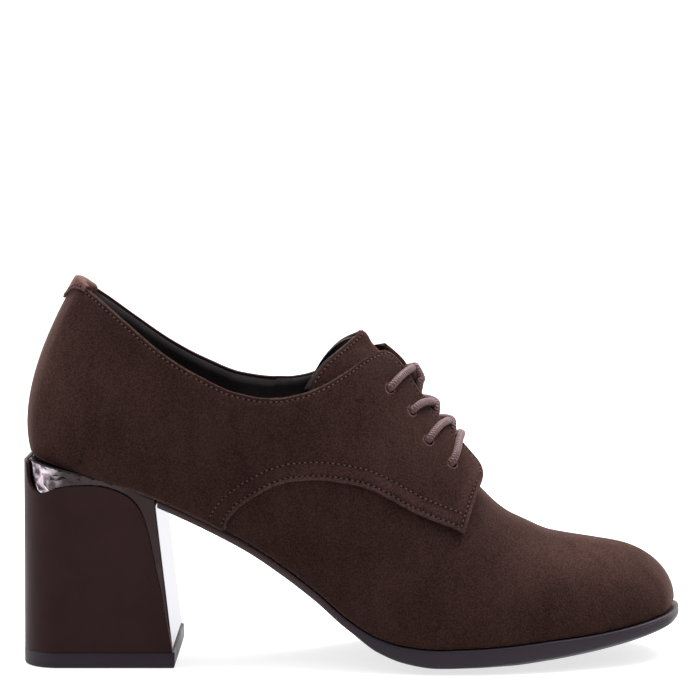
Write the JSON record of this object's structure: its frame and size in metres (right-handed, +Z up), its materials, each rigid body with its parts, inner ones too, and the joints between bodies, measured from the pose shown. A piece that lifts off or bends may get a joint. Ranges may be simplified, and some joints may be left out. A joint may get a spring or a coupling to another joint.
{
  "type": "lace-up shoe",
  "caption": "Women's suede derby on a block heel: hollow upper with lapped quarters, tongue, crossed lace, rubber sole and a bright heel core in a dark cover.",
  "frame": {"origin": "middle of the bounding box, on the ground", "axes": "+X towards the toe, +Y towards the medial side, +Z up"},
  "size_m": [0.2338, 0.0771, 0.1367],
  "materials": {
    "suede": "dark brown suede, short nap, no gloss",
    "suede_trim": "slightly redder suede on the tab and the tongue",
    "lining": "black smooth leather",
    "sole_rubber": "dull black rubber",
    "bright_core": "mirror bright",
    "heel_cover": "dark brown satin",
    "lace_cord": "waxed round cord"
  },
  "bodies": {
    "root": {"upper": "suede", "quarter_lateral": "suede", "quarter_medial": "suede", "heel_tab": "suede_trim", "tongue": "suede_trim", "insole": "lining", "outsole": "sole_rubber", "heel_core": "bright_core", "heel_cover": "heel_cover", "heel_top_piece": "sole_rubber", "lace": "lace_cord"}
  },
  "joints": []
}
